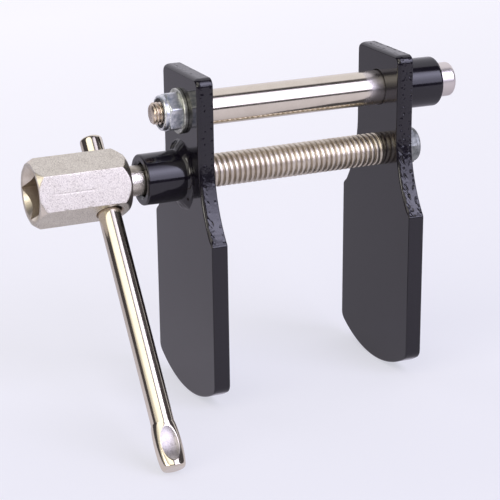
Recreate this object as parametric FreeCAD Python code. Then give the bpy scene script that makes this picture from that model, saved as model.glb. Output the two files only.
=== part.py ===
import FreeCAD, Part
import math
import os
from FreeCAD import Vector

# Disc brake piston spreader: two pressure plates on a guide rod, driven apart by a screw.
# Millimetres. While the pieces are made, X runs along the screw with 0 at the outer face of the
# screw plate, Y = 0 is the plane that halves both plates, and Z = 0 is the surface they stand on.
# Angles round the screw are measured from straight up, towards -Y, in degrees.

# Both plates
plate_thickness = 6.0
plate_gap = 71.6
plate_height = 119.2
neck_width = 32.0
body_width = 52.6
neck_height = 28.4
flare_radius = 45.0
foot_radius = 46.4
foot_corner_radius = 4.0
shoulder_radius = 1.5
top_corner_radius = 3.0
plate_edge_chamfer = 0.4
rod_below_top = 14.15
screw_below_rod = 23.2

# Round blocks welded to the outer faces of the plates
boss_diameter = 18.2
boss_length = 15.85
boss_edge_chamfer = 0.6
boss_bore_chamfer = 0.9
bush_diameter = 18.2
bush_length = 17.0
bush_edge_chamfer = 1.0
weld_leg = 3.6

# Lead screw, one piece with its hexagonal drive head
screw_diameter = 12.0
neck_diameter = 10.8
neck_length = 7.0
head_to_boss = 6.35
journal_diameter = 8.0
journal_end_inset = 0.3
journal_end_chamfer = 0.8
head_across_flats = 21.4
head_length = 33.7
head_end_diameter = 21.8
head_outer_chamfer = 2.1
head_inner_chamfer = 2.4
head_corner_angle = -12.0
socket_side = 12.8
socket_depth = 16.0
socket_corner_angle = 9.0
countersink_diameter = 18.0
cross_hole_diameter = 9.0
cross_hole_from_inner_end = 7.7
cross_hole_chamfer = 0.35

# Tommy bar, loose in the cross hole, with one end pressed wide
bar_diameter = 8.0
bar_length = 122.5
bar_end_chamfer = 0.8
bar_sag_angle = 1.7
bar_side_angle = 1.43
spread_width = 9.5
spread_length = 15.2
dent_from_end = 7.7
dent_depth = 1.35
dent_punch_radius = 14.0
dent_turn_angle = 14.0

# Guide rod with its stud, washer and lock nut
rod_diameter = 12.6
rod_past_bush = 7.0
rod_end_chamfer = 1.0
stud_diameter = 8.0
stud_past_plate = 10.8
stud_end_chamfer = 0.7

# Washers and lock nuts
washer_diameter = 16.2
washer_hole_diameter = 8.4
washer_thickness = 1.6
nut_across_flats = 13.0
rod_nut_height = 6.4
pivot_nut_height = 8.0
rod_nut_corner_angle = 72.0
pivot_nut_corner_angle = 20.0
nut_cone_length = 1.1
nut_collar_length = 1.8
nut_collar_diameter = 12.6
nut_lip_diameter = 9.8
nut_lip_thickness = 0.4
insert_diameter = 11.0
insert_thickness = 1.3

# Clearances, each on the radius or along the axis as named
running_clearance = 0.05
thread_clearance = 0.05
stud_hole_clearance = 0.2
shoulder_end_float = 0.05
washer_end_float = 0.05
seat_gap = 0.02
cut_past_face = 1.0

# Places that follow from the sizes above
inner_face = plate_thickness
far_inner_face = plate_thickness + plate_gap
far_outer_face = far_inner_face + plate_thickness
rod_height = plate_height - rod_below_top
screw_height = rod_height - screw_below_rod
flare_start_height = plate_height - neck_height
head_inner_end = -boss_length - head_to_boss
head_outer_end = head_inner_end - head_length
cross_hole_place = head_inner_end - cross_hole_from_inner_end
cross_hole_angle = head_corner_angle - 30.0
bar_angle = cross_hole_angle + bar_sag_angle


def turned(points):
    """Solid turned round X from (distance along X, radius) points."""
    corners = [Vector(x, 0, radius) for x, radius in points]
    outline = Part.makePolygon(corners + corners[:1])
    return Part.Face(outline).revolve(Vector(0, 0, 0), Vector(1, 0, 0), 360)


def sleeve(length, outer_diameter, bore_diameter):
    """Plain tube from X = 0, along +X."""
    outer = outer_diameter / 2
    bore = bore_diameter / 2
    return turned([(0, bore), (length, bore), (length, outer), (0, outer)])


def hexagon(across_flats, start, end, corner_angle):
    """Hexagonal bar along X with one corner at the given angle."""
    reach = across_flats / math.sqrt(3)
    turns = [math.radians(corner_angle + 60 * k) for k in range(6)]
    corners = [Vector(start, -reach * math.sin(a), reach * math.cos(a)) for a in turns]
    return Part.Face(Part.makePolygon(corners + corners[:1])).extrude(Vector(end - start, 0, 0))


def rims(solid, x, diameter):
    """Circular edges of the given diameter that lie square to X at x."""
    found = []
    for edge in solid.Edges:
        curve = edge.Curve
        if isinstance(curve, Part.Circle) and abs(curve.Radius - diameter / 2) < 1e-4:
            if abs(edge.CenterOfMass.x - x) < 1e-4:
                found.append(edge)
    return found


def seated(piece, face, height, outward):
    """Put a piece made along +X onto a plate's face, pointing outward (+1 or -1)."""
    if outward < 0:
        piece.rotate(Vector(0, 0, 0), Vector(0, 0, 1), 180)
    piece.translate(Vector(face, 0, height))
    return piece


def across(solid, angle):
    """Turn a solid made along Z to the given angle round X."""
    solid.rotate(Vector(0, 0, 0), Vector(1, 0, 0), angle)
    return solid


def plate_outline():
    """Outline of a plate at X = 0: round foot, straight sides, hollow flare and narrow neck."""
    neck = neck_width / 2
    side = body_width / 2
    foot_rise = foot_radius - math.sqrt(foot_radius ** 2 - side ** 2)
    flare_drop = math.sqrt(flare_radius ** 2 - (neck + flare_radius - side) ** 2)
    shoulder = flare_start_height - flare_drop
    half = math.asin(flare_drop / flare_radius) / 2
    middle_y = neck + flare_radius * (1 - math.cos(half))
    middle_z = flare_start_height - flare_radius * math.sin(half)
    edges = [Part.Arc(Vector(0, -side, foot_rise), Vector(0, 0, 0), Vector(0, side, foot_rise))]
    for way in (1, -1):
        low = Vector(0, way * side, foot_rise)
        corner = Vector(0, way * side, shoulder)
        bend = Vector(0, way * middle_y, middle_z)
        start = Vector(0, way * neck, flare_start_height)
        top = Vector(0, way * neck, plate_height)
        edges += [Part.LineSegment(low, corner), Part.Arc(corner, bend, start), Part.LineSegment(start, top)]
    edges.append(Part.LineSegment(Vector(0, neck, plate_height), Vector(0, -neck, plate_height)))
    heights = {"foot": foot_rise, "shoulder": shoulder, "top": plate_height}
    return Part.Wire(Part.__sortEdges__([edge.toShape() for edge in edges])), heights


def plate(screw_hole_diameter, rod_hole_diameter):
    """Plate from X = 0 to its thickness, with its corners rounded and its two holes."""
    outline, heights = plate_outline()
    body = Part.Face(outline).extrude(Vector(plate_thickness, 0, 0))
    corners = {"foot": foot_corner_radius, "shoulder": shoulder_radius, "top": top_corner_radius}
    for name, radius in corners.items():
        upright = [e for e in body.Edges if abs(e.BoundBox.XLength - plate_thickness) < 1e-3]
        chosen = [e for e in upright if abs(e.CenterOfMass.z - heights[name]) < 1e-3]
        body = body.makeFillet(radius, chosen)
    rim = [e for e in body.Edges if e.BoundBox.XLength < 1e-3]
    body = body.makeChamfer(plate_edge_chamfer, rim)
    for diameter, height in ((screw_hole_diameter, screw_height), (rod_hole_diameter, rod_height)):
        start = Vector(-cut_past_face, 0, height)
        depth = plate_thickness + 2 * cut_past_face
        hole = Part.makeCylinder(diameter / 2, depth, start, Vector(1, 0, 0))
        body = body.cut(hole)
    return body


def threaded_boss(bore_diameter):
    """Block that the screw runs in, from X = 0, chamfered at its mouth and outer edge."""
    body = sleeve(boss_length, boss_diameter, bore_diameter)
    body = body.makeChamfer(boss_bore_chamfer, rims(body, boss_length, bore_diameter))
    return body.makeChamfer(boss_edge_chamfer, rims(body, boss_length, boss_diameter))


def guide_bush(bore_diameter):
    """Block that the guide rod slides in, from X = 0, chamfered at its outer edge."""
    body = sleeve(bush_length, bush_diameter, bore_diameter)
    return body.makeChamfer(bush_edge_chamfer, rims(body, bush_length, bush_diameter))


def weld_bead(block_diameter):
    """Fillet weld round the foot of a block seated at X = 0."""
    inner = block_diameter / 2 + seat_gap
    return turned([(0, inner), (weld_leg, inner), (0, inner + weld_leg)])


def drive_head():
    """Chamfered hexagon with a countersunk square socket and a cross hole for the bar."""
    end = head_end_diameter / 2
    corner = head_across_flats / math.sqrt(3)
    chamfered = turned([
        (head_outer_end, 0),
        (head_outer_end, end),
        (head_outer_end + head_outer_chamfer, corner),
        (head_inner_end - head_inner_chamfer, corner),
        (head_inner_end, end),
        (head_inner_end, 0),
    ])
    head = hexagon(head_across_flats, head_outer_end, head_inner_end, head_corner_angle).common(chamfered)
    socket = Part.makeBox(socket_depth, socket_side, socket_side)
    socket.translate(Vector(head_outer_end, -socket_side / 2, -socket_side / 2))
    across(socket, socket_corner_angle - 45)
    sink = countersink_diameter / 2
    countersink = turned([(head_outer_end, 0), (head_outer_end, sink), (head_outer_end + sink, 0)])
    radius = cross_hole_diameter / 2
    half = head_across_flats / 2
    wide = radius + cross_hole_chamfer
    hole = Part.makeCylinder(radius, 2 * half, Vector(0, 0, -half))
    upper = Part.makeCone(radius, wide, cross_hole_chamfer, Vector(0, 0, half - cross_hole_chamfer))
    lower = Part.makeCone(wide, radius, cross_hole_chamfer, Vector(0, 0, -half))
    hole = across(hole.fuse([upper, lower]), cross_hole_angle)
    hole.translate(Vector(cross_hole_place, 0, 0))
    return head.cut([socket, countersink, hole])


def lead_screw():
    """Head, plain neck, threaded length at its outside diameter, and journal through the far plate."""
    screw = screw_diameter / 2
    neck = neck_diameter / 2
    journal = journal_diameter / 2
    neck_end = head_inner_end + neck_length
    shoulder = far_inner_face - shoulder_end_float
    washer_seat = far_outer_face + washer_end_float
    end = washer_seat + washer_thickness + pivot_nut_height - journal_end_inset
    shank = turned([
        (head_inner_end, 0),
        (head_inner_end, neck),
        (neck_end, neck),
        (neck_end, screw),
        (shoulder, screw),
        (shoulder, journal),
        (end - journal_end_chamfer, journal),
        (end, journal - journal_end_chamfer),
        (end, 0),
    ])
    piece = drive_head().fuse(shank).removeSplitter()
    piece.translate(Vector(0, 0, screw_height))
    return piece


def guide_rod():
    """Rod that slides in the bush, shouldered down to a stud through the screw plate."""
    rod = rod_diameter / 2
    stud = stud_diameter / 2
    far_end = far_outer_face + bush_length + rod_past_bush
    piece = turned([
        (-stud_past_plate, 0),
        (-stud_past_plate, stud - stud_end_chamfer),
        (-stud_past_plate + stud_end_chamfer, stud),
        (inner_face, stud),
        (inner_face, rod),
        (far_end - rod_end_chamfer, rod),
        (far_end, rod - rod_end_chamfer),
        (far_end, 0),
    ])
    piece.translate(Vector(0, 0, rod_height))
    return piece


def washer():
    """Flat washer seated at X = 0."""
    return sleeve(washer_thickness, washer_diameter, washer_hole_diameter)


def lock_nut(height, corner_angle, thread_diameter):
    """Hexagonal lock nut seated at X = 0, with a round collar rolled over its insert."""
    corner = nut_across_flats / math.sqrt(3)
    collar = nut_collar_diameter / 2
    bore = thread_diameter / 2 + thread_clearance
    pocket = insert_diameter / 2
    lip = nut_lip_diameter / 2
    collar_start = height - nut_collar_length
    pocket_end = height - nut_lip_thickness
    pocket_start = pocket_end - insert_thickness
    body = turned([
        (0, bore),
        (0, corner),
        (collar_start - nut_cone_length, corner),
        (collar_start, collar),
        (height, collar),
        (height, lip),
        (pocket_end, lip),
        (pocket_end, pocket),
        (pocket_start, pocket),
        (pocket_start, bore),
    ])
    return body.common(hexagon(nut_across_flats, 0, height, corner_angle))


def nut_insert(height, thread_diameter):
    """Nylon ring held under the collar's lip of a lock nut seated at X = 0."""
    start = height - nut_lip_thickness - insert_thickness
    bore = thread_diameter + 2 * thread_clearance
    ring = sleeve(insert_thickness, insert_diameter - 2 * seat_gap, bore)
    ring.translate(Vector(start, 0, 0))
    return ring


def tommy_bar():
    """Round bar lying through the cross hole, its pressed end resting on the surface below."""
    radius = bar_diameter / 2
    foot = radius - bar_end_chamfer
    half_length = spread_length / 2
    plain = turned([
        (0, 0),
        (0, foot),
        (bar_end_chamfer, radius),
        (bar_length - bar_end_chamfer, radius),
        (bar_length, foot),
        (bar_length, 0),
    ])
    plain.rotate(Vector(0, 0, 0), Vector(0, 1, 0), -90)
    swelling = FreeCAD.Matrix()
    swelling.scale(spread_width / 2, radius, half_length)
    pressed = Part.makeSphere(1.0).transformGeometry(swelling)
    pressed.translate(Vector(0, 0, dent_from_end))
    punch_depth = Vector(-bar_diameter, -radius + dent_depth - dent_punch_radius, dent_from_end)
    punch = Part.makeCylinder(dent_punch_radius, 2 * bar_diameter, punch_depth, Vector(1, 0, 0))
    piece = plain.fuse(pressed).cut(punch)
    piece.rotate(Vector(0, 0, 0), Vector(0, 0, 1), -dent_turn_angle)
    slope = math.radians(bar_angle)
    side = math.radians(bar_side_angle)
    steepness = math.cos(side) * math.cos(slope)
    rim_drop = foot * math.sqrt(1 - steepness ** 2)
    lower_reach = (screw_height - rim_drop) / steepness
    piece.translate(Vector(0, 0, -lower_reach))
    piece.rotate(Vector(0, 0, 0), Vector(0, 1, 0), bar_side_angle)
    piece.rotate(Vector(0, 0, 0), Vector(1, 0, 0), bar_angle)
    piece.translate(Vector(cross_hole_place, 0, screw_height))
    return piece


def far_plate_piece(piece):
    """Move a piece made at the first plate's place to the second plate's."""
    piece.translate(Vector(far_inner_face, 0, 0))
    return piece


def build_all():
    """Every piece in its place, by name."""
    screw_hole = screw_diameter + 2 * running_clearance
    rod_hole = rod_diameter + 2 * running_clearance
    stud_hole = stud_diameter + 2 * stud_hole_clearance
    journal_hole = journal_diameter + 2 * running_clearance
    rod_nut = lock_nut(rod_nut_height, -rod_nut_corner_angle, stud_diameter)
    rod_insert = nut_insert(rod_nut_height, stud_diameter)
    pivot_nut = lock_nut(pivot_nut_height, pivot_nut_corner_angle, journal_diameter)
    pivot_insert = nut_insert(pivot_nut_height, journal_diameter)
    pivot_seat = far_outer_face + washer_end_float
    return {
        "screw_plate": plate(screw_hole, stud_hole),
        "threaded_boss": seated(threaded_boss(screw_hole), 0, screw_height, -1),
        "boss_weld": seated(weld_bead(boss_diameter), 0, screw_height, -1),
        "guide_rod": guide_rod(),
        "rod_washer": seated(washer(), 0, rod_height, -1),
        "rod_nut": seated(rod_nut, -washer_thickness, rod_height, -1),
        "rod_nut_insert": seated(rod_insert, -washer_thickness, rod_height, -1),
        "pressure_plate": far_plate_piece(plate(journal_hole, rod_hole)),
        "guide_bush": seated(guide_bush(rod_hole), far_outer_face, rod_height, 1),
        "bush_weld": seated(weld_bead(bush_diameter), far_outer_face, rod_height, 1),
        "lead_screw": lead_screw(),
        "pivot_washer": seated(washer(), pivot_seat, screw_height, 1),
        "pivot_nut": seated(pivot_nut, pivot_seat + washer_thickness, screw_height, 1),
        "pivot_nut_insert": seated(pivot_insert, pivot_seat + washer_thickness, screw_height, 1),
        "tommy_bar": tommy_bar(),
    }


pieces = build_all()
box = Part.makeCompound(list(pieces.values())).optimalBoundingBox(False, False)
to_origin = Vector(-(box.XMin + box.XMax) / 2, -(box.YMin + box.YMax) / 2, -box.ZMin)
os.makedirs("parts", exist_ok=True)
for name, solid in pieces.items():
    solid.translate(to_origin)
    solid.exportStep("parts/" + name + ".step")
    print(name, "valid" if solid.isValid() else "INVALID", len(solid.Solids), round(solid.Volume, 1))
print("box", [round(v, 3) for v in (box.XMin, box.XMax, box.YMin, box.YMax, box.ZMin, box.ZMax)])
print("moved by", [round(v, 3) for v in to_origin])
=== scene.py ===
import math

import bmesh
import bpy
from mathutils import Matrix, Vector, noise


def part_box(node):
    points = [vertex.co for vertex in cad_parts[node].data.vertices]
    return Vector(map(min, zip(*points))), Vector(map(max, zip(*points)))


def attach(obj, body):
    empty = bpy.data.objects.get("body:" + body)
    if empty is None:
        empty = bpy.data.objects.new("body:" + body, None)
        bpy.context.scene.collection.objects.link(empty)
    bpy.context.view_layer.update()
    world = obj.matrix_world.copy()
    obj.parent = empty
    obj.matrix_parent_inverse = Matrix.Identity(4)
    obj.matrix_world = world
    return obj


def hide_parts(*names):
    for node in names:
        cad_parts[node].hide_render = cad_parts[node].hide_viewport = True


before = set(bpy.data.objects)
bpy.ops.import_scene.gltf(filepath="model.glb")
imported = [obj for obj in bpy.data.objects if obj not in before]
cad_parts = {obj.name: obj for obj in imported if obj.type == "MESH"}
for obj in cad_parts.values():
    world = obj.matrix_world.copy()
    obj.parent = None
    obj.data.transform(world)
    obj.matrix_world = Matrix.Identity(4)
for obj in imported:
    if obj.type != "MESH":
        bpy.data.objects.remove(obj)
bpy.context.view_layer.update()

millimetre = 0.001


# The camera. The tool is seen from the left front and a little from above, from about 700 mm away,
# with the drive head towards the viewer. Angles in degrees.
camera_place = Vector((-270.18, -584.36, 266.5)) * millimetre
camera_turn = math.radians(24.032)
camera_dip = math.radians(18.066)
camera_roll = math.radians(-0.807)
camera_lens = 138.11

ahead = Vector((
    math.sin(camera_turn) * math.cos(camera_dip),
    math.cos(camera_turn) * math.cos(camera_dip),
    -math.sin(camera_dip),
))
level_right = ahead.cross(Vector((0, 0, 1))).normalized()
level_up = level_right.cross(ahead)
camera_right = level_right * math.cos(camera_roll) + level_up * math.sin(camera_roll)
camera_up = level_up * math.cos(camera_roll) - level_right * math.sin(camera_roll)
camera_data = bpy.data.cameras.new("camera")
camera_data.lens = camera_lens
camera_data.sensor_width = 36.0
camera_data.sensor_fit = "HORIZONTAL"
camera_data.clip_start = 0.02
camera_data.clip_end = 20.0
camera = bpy.data.objects.new("camera", camera_data)
camera_axes = Matrix((camera_right, camera_up, -ahead)).transposed()
camera.matrix_world = Matrix.Translation(camera_place) @ camera_axes.to_4x4()
bpy.context.scene.collection.objects.link(camera)
bpy.context.scene.camera = camera
bpy.context.scene.view_settings.view_transform = "Standard"


# The floor: a pale matt sheet that runs far back behind the tool and ends a little in front of it.
# It shows as a lavender white and keeps the soft shadows under the plates and the bar.
def linear(colour):
    """Linear RGBA of a '#rrggbb' sRGB colour."""
    parts = [int(colour[i:i + 2], 16) / 255 for i in (1, 3, 5)]
    return [c / 12.92 if c <= 0.04045 else ((c + 0.055) / 1.055) ** 2.4 for c in parts] + [1.0]


def add_node(tree, kind, inputs=(), **settings):
    """New node of a tree: its settings, and its inputs as values or as the node or socket that feeds one."""
    node = tree.nodes.new(kind)
    for name, value in settings.items():
        setattr(node, name, value)
    for socket, value in dict(inputs).items():
        if isinstance(value, bpy.types.Node):
            value = value.outputs[0]
        if isinstance(value, bpy.types.NodeSocket):
            tree.links.new(value, node.inputs[socket])
        else:
            node.inputs[socket].default_value = value
    return node


def new_material(name):
    """Empty material and its node tree."""
    material = bpy.data.materials.new(name)
    material.use_nodes = True
    material.node_tree.nodes.clear()
    return material, material.node_tree


def shown_mesh(name, mesh):
    """New object in the scene from a mesh."""
    piece = bpy.data.objects.new(name, mesh)
    bpy.context.scene.collection.objects.link(piece)
    return piece


def add_piece(name, points, faces, *materials):
    """New smooth mesh object from points in millimetres, its faces turned outwards."""
    mesh = bpy.data.meshes.new(name)
    mesh.from_pydata([Vector(p) * millimetre for p in points], [], faces)
    for material in materials:
        mesh.materials.append(material)
    shape = bmesh.new()
    shape.from_mesh(mesh)
    bmesh.ops.recalc_face_normals(shape, faces=shape.faces)
    shape.to_mesh(mesh)
    shape.free()
    mesh.shade_smooth()
    mesh.set_sharp_from_angle(angle=math.radians(38))
    return shown_mesh(name, mesh)


floor_colour = "#dbdae0"
# Painted light: the glow that the camera sees rises from near_glow in front to a brighter glow at the back,
# leaning to the right, so the far floor is painted brighter.
near_colour, near_glow = "#eeeff9", 1.10
far_colour, far_glow_painted_light = "#fbfaff", 1.38
far_from, far_to, far_slant = -0.1, 0.8, 0.6
# Painted shade: in reflections the floor glows at mirror_front in front of the tool and dimmer behind and
# under it, where the tool's shadow lies.
mirror_colour, mirror_front, mirror_back_painted_shade = "#f4eefe", 0.86, 0.60
mirror_from, mirror_to = -0.08, 0.12
camera_share, mirror_share = 0.55, 0.70
floor_in_front, floor_reach = 0.54, 4.0
toward = Vector((-math.sin(camera_turn), -math.cos(camera_turn), 0))
rightward = Vector((math.cos(camera_turn), -math.sin(camera_turn), 0))

floor_material, tree = new_material("pale_floor")
paths = add_node(tree, "ShaderNodeLightPath").outputs
by_camera = paths["Is Camera Ray"]
mirrored = add_node(tree, "ShaderNodeMath",
                    {0: paths["Is Glossy Ray"], 1: paths["Is Transmission Ray"]}, operation="MAXIMUM")
camera_part = add_node(tree, "ShaderNodeMath", {0: by_camera, 1: camera_share}, operation="MULTIPLY")
share = add_node(tree, "ShaderNodeMath", {0: mirrored, 1: mirror_share, 2: camera_part},
                 operation="MULTIPLY_ADD")
place = add_node(tree, "ShaderNodeTexCoord").outputs["Object"]
depth = add_node(tree, "ShaderNodeVectorMath", {0: place, 1: -toward}, operation="DOT_PRODUCT")
slant = add_node(tree, "ShaderNodeVectorMath", {0: place, 1: -toward - rightward * far_slant},
                 operation="DOT_PRODUCT")
# Painted light: the floor's glow grows brighter towards the back and the right.
farness = add_node(tree, "ShaderNodeMapRange",
                   {"Value": slant.outputs["Value"], "From Min": far_from, "From Max": far_to})
seen = add_node(tree, "ShaderNodeMapRange", {"Value": farness, "To Min": near_glow, "To Max": far_glow_painted_light})
# Painted shade: the reflected floor darkens from in front of the tool to behind it.
mirror = add_node(tree, "ShaderNodeMapRange", {
    "Value": depth.outputs["Value"], "From Min": mirror_from, "From Max": mirror_to,
    "To Min": mirror_front, "To Max": mirror_back_painted_shade,
}, interpolation_type="SMOOTHSTEP")
strength = add_node(tree, "ShaderNodeMapRange", {"Value": by_camera, "To Min": mirror, "To Max": seen})
tint = add_node(tree, "ShaderNodeMix", {0: farness, 6: linear(near_colour), 7: linear(far_colour)},
                data_type="RGBA")
shown = add_node(tree, "ShaderNodeMix", {0: by_camera, 6: linear(mirror_colour), 7: tint.outputs[2]},
                 data_type="RGBA")
matt = add_node(tree, "ShaderNodeBsdfDiffuse", {"Color": linear(floor_colour)})
glow = add_node(tree, "ShaderNodeEmission", {"Color": shown.outputs[2], "Strength": strength})
mixed = add_node(tree, "ShaderNodeMixShader", {0: share, 1: matt, 2: glow})
add_node(tree, "ShaderNodeOutputMaterial", {"Surface": mixed})

corners = [
    toward * floor_in_front - rightward * floor_reach,
    toward * floor_in_front + rightward * floor_reach,
    -toward * floor_reach + rightward * floor_reach,
    -toward * floor_reach - rightward * floor_reach,
]
floor = add_piece("floor", [corner / millimetre for corner in corners], [(0, 1, 2, 3)], floor_material)


# The light: two tall soft boxes stand in front, a warm one to the left and a cool one to the right, with
# a narrow gap between them. A low warm strip to the left draws the bright lines along the punched edges.
# A pale wall closes the room behind. Its sides stay dark.
def soft_box(name, turn, half_width, low_edge, high_edge, colour, radiance, ramp):
    """Upright lamp in front of the tool, its middle and its edges in degrees as the tool sees them."""
    distance, eye_height = 1.2, 0.1
    dim_border, dim_level = 0.05, 0.05
    middle = math.radians(turn)
    out = toward * math.cos(middle) + rightward * math.sin(middle)
    bottom = eye_height + distance * math.tan(math.radians(low_edge))
    top = eye_height + distance * math.tan(math.radians(high_edge))
    data = bpy.data.lights.new(name, "AREA")
    data.shape = "RECTANGLE"
    data.size = 2 * distance * math.tan(math.radians(half_width))
    data.size_y = top - bottom
    data.color = linear(colour)[:3]
    data.energy = radiance * math.pi * data.size * data.size_y
    data.use_nodes = True
    tree = data.node_tree
    tree.nodes.clear()
    across = add_node(tree, "ShaderNodeNewGeometry").outputs["Parametric"]
    parts = add_node(tree, "ShaderNodeSeparateXYZ", {0: across}).outputs
    upward = add_node(tree, "ShaderNodeValToRGB", {"Fac": parts[1]})
    stops = upward.color_ramp.elements
    for position, brightness in ramp:
        stop = stops.new(position)
        stop.color = (brightness, brightness, brightness, 1)
    stops.remove(stops[0])
    stops.remove(stops[-1])
    from_middle = add_node(tree, "ShaderNodeMath", {0: parts[0], 1: 0.5}, operation="SUBTRACT")
    off_middle = add_node(tree, "ShaderNodeMath", {0: from_middle}, operation="ABSOLUTE")
    border = add_node(tree, "ShaderNodeMapRange", {
        "Value": off_middle, "From Min": 0.5, "From Max": 0.5 - dim_border, "To Min": dim_level,
    }, interpolation_type="SMOOTHSTEP")
    strength = add_node(tree, "ShaderNodeMath", {0: upward, 1: border}, operation="MULTIPLY")
    lit = add_node(tree, "ShaderNodeEmission", {"Strength": strength})
    add_node(tree, "ShaderNodeOutputLight", {"Surface": lit})
    lamp = bpy.data.objects.new(name, data)
    stand = out * distance + Vector((0, 0, (bottom + top) / 2))
    lamp.matrix_world = Matrix.Translation(stand) @ out.to_track_quat("Z", "Y").to_matrix().to_4x4()
    lamp.visible_camera = False
    bpy.context.scene.collection.objects.link(lamp)


raised = ((0.0, 0.3), (0.18, 0.35), (0.30, 0.95), (0.7, 1.0), (0.99, 0.6))
even = ((0.0, 1.0), (0.99, 0.8))
peaked = ((0.0, 0.45), (0.10, 0.55), (0.18, 0.76), (0.28, 1.0), (0.36, 0.92), (0.46, 0.62), (0.62, 0.34),
          (0.99, 0.12))
soft_box("left_box", -29, 41, 5, 68, "#fffaee", 1.9, raised)
soft_box("left_strip", -45, 13, 5, 20, "#fffaee", 6.0, even)
soft_box("right_box", 50, 27, 5, 68, "#dcdaf5", 5.75, peaked)

wall_tilt = math.radians(29.7)
wall_from, wall_to = 0.52, 0.60
wall_middle = -toward * math.cos(wall_tilt) + Vector((0, 0, math.sin(wall_tilt)))
world = bpy.data.worlds.new("studio")
bpy.context.scene.world = world
world.use_nodes = True
tree = world.node_tree
tree.nodes.clear()
place = add_node(tree, "ShaderNodeTexCoord").outputs["Generated"]
facing = add_node(tree, "ShaderNodeVectorMath", {0: place, 1: wall_middle}, operation="DOT_PRODUCT")
lit = add_node(tree, "ShaderNodeMapRange",
               {"Value": facing.outputs["Value"], "From Min": wall_from, "From Max": wall_to},
               interpolation_type="SMOOTHSTEP")
room = add_node(tree, "ShaderNodeMix", {0: lit, 6: linear("#4a474d"), 7: linear("#f4f1fc")},
                data_type="RGBA")
light = add_node(tree, "ShaderNodeBackground", {"Color": room.outputs[2]})
behind = add_node(tree, "ShaderNodeBackground", {"Color": linear(far_colour), "Strength": 0.97})
by_camera = add_node(tree, "ShaderNodeLightPath").outputs["Is Camera Ray"]
mixed = add_node(tree, "ShaderNodeMixShader", {0: by_camera, 1: light, 2: behind})
add_node(tree, "ShaderNodeOutputWorld", {"Surface": mixed})


# The two plates. Each is punched from 6 mm steel plate: the press tore the sides of the neck and of
# the flare, and the lower sides were cut clean. Both are painted all over in gloss black enamel. The
# far plate hangs a little crooked in the play of its bush, its foot towards the near one.
def enamel(name, peel_size, peel_height, smooth, rough):
    """Gloss black enamel: hard mirror, slight orange peel from the spray gun, faint handling smears."""
    smear_size = 14.3
    material, tree = new_material(name)
    place = add_node(tree, "ShaderNodeTexCoord").outputs["Object"]
    peel = add_node(tree, "ShaderNodeTexNoise",
                    {"Vector": place, "Scale": 1 / (peel_size * millimetre), "Detail": 2.0})
    bump = add_node(tree, "ShaderNodeBump",
                    {"Height": peel, "Strength": 1.0, "Distance": peel_height * millimetre})
    smear = add_node(tree, "ShaderNodeTexNoise",
                     {"Vector": place, "Scale": 1 / (smear_size * millimetre), "Detail": 4.0,
                      "Roughness": 0.6})
    dulling = add_node(tree, "ShaderNodeMapRange", {
        "Value": smear, "From Min": 0.35, "From Max": 0.75, "To Min": smooth, "To Max": rough})
    paint = add_node(tree, "ShaderNodeBsdfPrincipled",
                     {"Base Color": linear("#110e16"), "IOR": 1.53, "Roughness": dulling, "Normal": bump})
    add_node(tree, "ShaderNodeOutputMaterial", {"Surface": paint})
    return material


gloss_black = enamel("gloss_black_enamel", 1.6, 0.0006, 0.09, 0.16)
torn_black = enamel("enamel_over_torn_steel", 0.45, 0.018, 0.10, 0.20)
weld_black = enamel("enamel_over_weld_metal", 0.9, 0.004, 0.06, 0.11)

neck_width, neck_height = 32.0, 28.4
flare_radius, foot_radius = 45.0, 46.4
foot_corner, shoulder_corner, top_corner = 4.0, 1.5, 3.0
burr, roll_in, roll_over = 0.5, 2.0, 1.1
roll_run_in = 2.5


def arc(centre, radius, first, last, spacing):
    """Points along an arc between two angles in degrees, both ends included."""
    steps = max(2, math.ceil(abs(math.radians(last - first)) * radius / spacing))
    turns = [math.radians(first + (last - first) * k / steps) for k in range(steps + 1)]
    return [Vector((centre[0] + radius * math.cos(a), centre[1] + radius * math.sin(a))) for a in turns]


def straight(start, end, spacing):
    """Points along a straight line, both ends included."""
    start, end = Vector(start), Vector(end)
    steps = max(1, math.ceil((end - start).length / spacing))
    return [start.lerp(end, k / steps) for k in range(steps + 1)]


def plate_side(width, height):
    """Right half of a plate's outline from the foot's lowest point up to the middle of the top."""
    side, neck = width / 2, neck_width / 2
    flare_y, flare_z = neck + flare_radius, height - neck_height
    foot_in = side - foot_corner
    foot_z = foot_radius - math.sqrt((foot_radius - foot_corner) ** 2 - foot_in ** 2)
    foot_angle = math.degrees(math.atan2(foot_z - foot_radius, foot_in))
    shoulder_in = side - shoulder_corner
    shoulder_z = flare_z - math.sqrt((flare_radius + shoulder_corner) ** 2 - (flare_y - shoulder_in) ** 2)
    shoulder_angle = math.degrees(math.atan2(flare_z - shoulder_z, flare_y - shoulder_in))
    fine, plain = 0.3, 0.8
    points = arc((0, foot_radius), foot_radius, -90, foot_angle, plain)
    points += arc((foot_in, foot_z), foot_corner, foot_angle, 0, fine)
    points += straight((side, foot_z), (side, shoulder_z), plain)
    points += arc((shoulder_in, shoulder_z), shoulder_corner, 0, shoulder_angle, fine)
    cut_clean = len(points)
    points += arc((flare_y, flare_z), flare_radius, 180 + shoulder_angle, 180, fine)
    points += straight((neck, flare_z), (neck, height - top_corner), fine)
    points += arc((neck - top_corner, height - top_corner), top_corner, 0, 90, fine)
    points += straight((neck - top_corner, height), (0, height), fine)
    return points, [False] * cut_clean + [True] * (len(points) - cut_clean)


def plate_outline(width, height):
    """Closed outline as (y, z) points without repeats, and whether the edge is torn at each."""
    right = list(zip(*plate_side(width, height)))
    left = [(Vector((-p.x, p.y)), t) for p, t in reversed(right)]
    kept = []
    for point, tear in right + left:
        if not kept or (point - kept[-1][0]).length > 1e-4:
            kept.append((point, tear))
    if (kept[0][0] - kept[-1][0]).length < 1e-4:
        kept.pop()
    return [point for point, tear in kept], [tear for point, tear in kept]


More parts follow.
